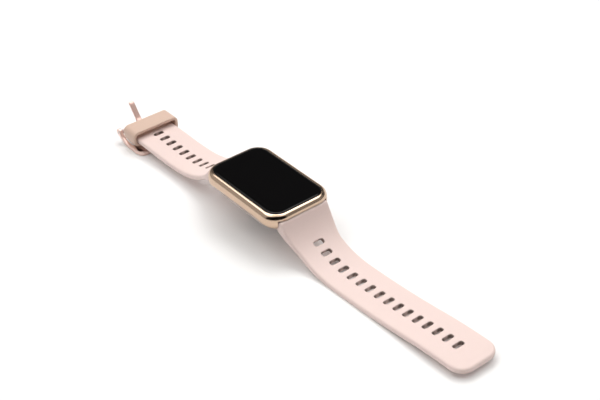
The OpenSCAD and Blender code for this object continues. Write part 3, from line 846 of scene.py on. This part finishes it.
def buckle_stations():
    """Pairs of outer and inner points (x, run) and the half thickness, from the end of one
    arm round the plate to its middle."""
    rows = []
    inner_x = BUCKLE_HALF_W - ARM_W
    for i in range(9, -4, -1):
        a = math.radians(9.5 * i)
        rows.append((Vector((BUCKLE_HALF_W, -EYE_R * math.sin(a))),
                     Vector((inner_x, -EYE_R * math.sin(a))), EYE_R * math.cos(a)))
    plate = BUCKLE_RUN - PLATE_L
    arm_end = plate - INNER_R
    for i in range(1, 11):
        run = EYE_REACH + (arm_end - EYE_REACH) * i / 11
        neck = 1 - ease((run - EYE_REACH) / 2.6)
        waist = BUCKLE_T / 2 + (EYE_NECK - BUCKLE_T / 2) * neck
        rows.append((Vector((BUCKLE_HALF_W, run)), Vector((inner_x, run)), waist))
    outer = corner_points(Vector((BUCKLE_HALF_W, arm_end)), Vector((BUCKLE_HALF_W, BUCKLE_RUN)),
                          Vector((CORNER_X, BUCKLE_RUN)), OUTER_R, 16)
    inner = corner_points(Vector((inner_x, arm_end)), Vector((inner_x, plate)),
                          Vector((CORNER_X, plate)), INNER_R, 16)
    rows += [(p, q, BUCKLE_T / 2) for p, q in zip(outer, inner)]
    rows += [(Vector((x, BUCKLE_RUN)), Vector((x, plate)), BUCKLE_T / 2)
             for x in (5.5, 4.0, 2.6, 1.3, 0)]
    return rows


def make_buckle():
    """The bent frame, bored for its pin and grooved where the tongue's tip rests."""
    rows = buckle_stations()
    mirrored = [(Vector((-p.x, p.y)), Vector((-q.x, q.y)), t) for p, q, t in rows[-2::-1]]
    rings = []
    for outer, inner, half_t in rows + mirrored:
        middle, half = (outer + inner) / 2, (outer - inner) / 2
        width = half.length
        ring = []
        for a, b in round_section(width, half_t, 0.42, 5):
            p = middle + half * (a / width)
            ring.append(on_buckle(p.x, p.y, b))
        rings.append(ring)
    buckle = make_object("buckle_frame_metal", *loft(rings), None, 50)
    groove = block((-1.6, PIN.y - 11.6, -1), (1.6, PIN.y - 8.6, 0.75), 0.5)
    cut(buckle, rod(-THROUGH, THROUGH, PIN_PRESS_R, PIN), groove, smooth=40)
    return buckle


def make_tongue():
    """A flat link with an eye round the pin and a tip bent down."""
    half_w, half_t, eye_r = 1.2, 0.5, 1.35
    tip_from, tip_l = 9.0, 1.6
    stations = [(eye_r * math.sin(math.radians(a)), 0, eye_r * math.cos(math.radians(a)), half_w)
                for a in range(-85, 41, 10)]
    for i in range(1, 7):
        u = 0.95 + 0.3 * i
        stations.append((u, 0, half_t + 0.5 * (1 - ease((u - 0.9) / 1.9)), half_w))
    stations += [(u, 0, half_t, half_w) for u in (4, 5.5, 7, 8.2, tip_from)]
    for i in range(1, 8):
        t = i / 7
        stations.append((tip_from + tip_l * t, -0.5 * t * t, half_t * (1 - 0.45 * t ** 3),
                         half_w * (1 - 0.3 * t ** 4)))
    rings = []
    for k, (u, v, t, w) in enumerate(stations):
        before, after = stations[max(0, k - 1)], stations[min(len(stations) - 1, k + 1)]
        run = Vector((after[0] - before[0], after[1] - before[1])).normalized()
        ring = [Vector((a, u - b * run.y, v + b * run.x)) for a, b in round_section(w, t, 0.22, 4)]
        rings.append(ring)
    place = Matrix.Translation(PIN) @ Matrix.Rotation(TONGUE_LEAN, 4, "X")
    tongue = make_object("buckle_tongue_metal", *loft(rings), place, 50)
    cut(tongue, rod(-4, 4, PIN_BORE_R, PIN), smooth=40)
    return tongue


# ---- Stage ----

FLOOR_HALF = 3000
LAMP_FROM = (0.4, 0.45, 0.9)
LAMP_ENERGY, LAMP_SIZE = 1.5, 0.5


def make_floor():
    verts = [(x * FLOOR_HALF, y * FLOOR_HALF, 0) for x, y in ((-1, -1), (1, -1), (1, 1), (-1, 1))]
    floor = make_object("floor", verts, [(0, 1, 2, 3)])
    material = surface("white_floor", (0.92, 0.92, 0.92), 0, 0.6, 0.05, 0.005, 60, 2, 0.001,
                       Specular_IOR_Level=0.1, Emission_Color=(1, 1, 1, 1),
                       Emission_Strength=0.04)
    floor.data.materials.append(material)


class WorldLight:
    """Builds the sky's brightness out of the direction that a ray goes."""

    def __init__(self):
        world = bpy.data.worlds.new("studio")
        bpy.context.scene.world = world
        world.use_nodes = True
        self.tree = world.node_tree
        self.direction = self.tree.nodes.new("ShaderNodeTexCoord").outputs["Generated"]

    def towards(self, x, y, z):
        """How far the direction leans towards a vector."""
        node = self.tree.nodes.new("ShaderNodeVectorMath")
        node.operation = "DOT_PRODUCT"
        node.inputs[1].default_value = (x, y, z)
        self.tree.links.new(self.direction, node.inputs[0])
        return node.outputs["Value"]

    def step(self, value, start, end, low=0.0, high=1.0):
        """Goes smoothly from low to high as value goes from start to end."""
        node = self.tree.nodes.new("ShaderNodeMapRange")
        node.interpolation_type = "SMOOTHSTEP"
        for socket, number in (("From Min", start), ("From Max", end),
                               ("To Min", low), ("To Max", high)):
            node.inputs[socket].default_value = number
        self.tree.links.new(value, node.inputs["Value"])
        return node.outputs["Result"]

    def math(self, operation, a, b):
        node = self.tree.nodes.new("ShaderNodeMath")
        node.operation = operation
        self.tree.links.new(a, node.inputs[0])
        self.tree.links.new(b, node.inputs[1])
        return node.outputs["Value"]

    def shine(self, strength):
        background = self.tree.nodes["Background"]
        background.inputs["Color"].default_value = (1.0, 0.99, 0.975, 1)
        self.tree.links.new(strength, background.inputs["Strength"])


def make_world():
    """A bright ring of softboxes high up, strongest behind the band, with weak low glows to
    its left, in front of it and far behind it, and dark where the viewer stands."""
    sky = WorldLight()
    up = sky.towards(0, 0, 1)
    ring = sky.math("MULTIPLY", sky.step(up, 0.69, 0.77), sky.step(up, 0.965, 0.99, 1, 0))
    ring = sky.math("MULTIPLY", ring, sky.step(sky.towards(0.64, 0.77, 0), -0.3, 0.5, 1.6, 3.1))
    left_glow = sky.step(sky.towards(-0.85, 0.5, 0.15), 0.2, 0.9, 0.06, 0.5)
    front_glow = sky.step(sky.towards(0.5, -0.85, 0.15), 0.5, 0.9, 0, 0.25)
    far_glow = sky.math("MULTIPLY", sky.step(sky.towards(0.74, 0.67, 0), 0.7, 0.9, 0, 0.9),
                        sky.step(up, 0.2, 0.4, 1, 0))
    glows = sky.math("ADD", sky.math("ADD", left_glow, front_glow), far_glow)
    viewer = sky.step(sky.towards(-0.6, -0.8, 0), 0.36, 0.56, 1, 0.02)
    sky.shine(sky.math("MULTIPLY", sky.math("ADD", ring, glows), viewer))


def make_lamp():
    data = bpy.data.lights.new("softbox", "AREA")
    data.shape = "DISK"
    data.size = LAMP_SIZE
    data.energy = LAMP_ENERGY
    lamp = bpy.data.objects.new("softbox", data)
    lamp.location = LAMP_FROM
    lamp.rotation_euler = (-Vector(LAMP_FROM)).to_track_quat("-Z", "Y").to_euler()
    bpy.context.scene.collection.objects.link(lamp)


# ---- The band ----

make_camera()
materials = make_materials()
dress_cad_nodes(materials)
finish_piece(make_case_frame(), "case", "rose_gold", ["case_frame"], materials)
finish_piece(make_cover_glass(), "case", "black_glass", ["cover_glass"], materials)
finish_piece(make_back_cover(), "case", "back_plastic", ["back_cover"], materials)
finish_piece(make_sensor_window(), "case", "window_glass", ["sensor_window"], materials)
finish_piece(make_side_button(), "button", "button_gold", ["side_button"], materials)
finish_piece(make_long_strap(), "long_strap", "pink_silicone", ["strap_long"], materials)
finish_piece(make_short_strap(), "short_strap", "pink_silicone", ["strap_short"], materials)
finish_piece(make_keeper(), "keeper", "tan_silicone", ["keeper_loop"], materials)
finish_piece(make_buckle(), "buckle", "buckle_gold", ["buckle_frame"], materials)
finish_piece(make_tongue(), "tongue", "tongue_gold", ["buckle_tongue"], materials)
make_floor()
make_world()
make_lamp()
bpy.context.scene.view_settings.view_transform = "Standard"
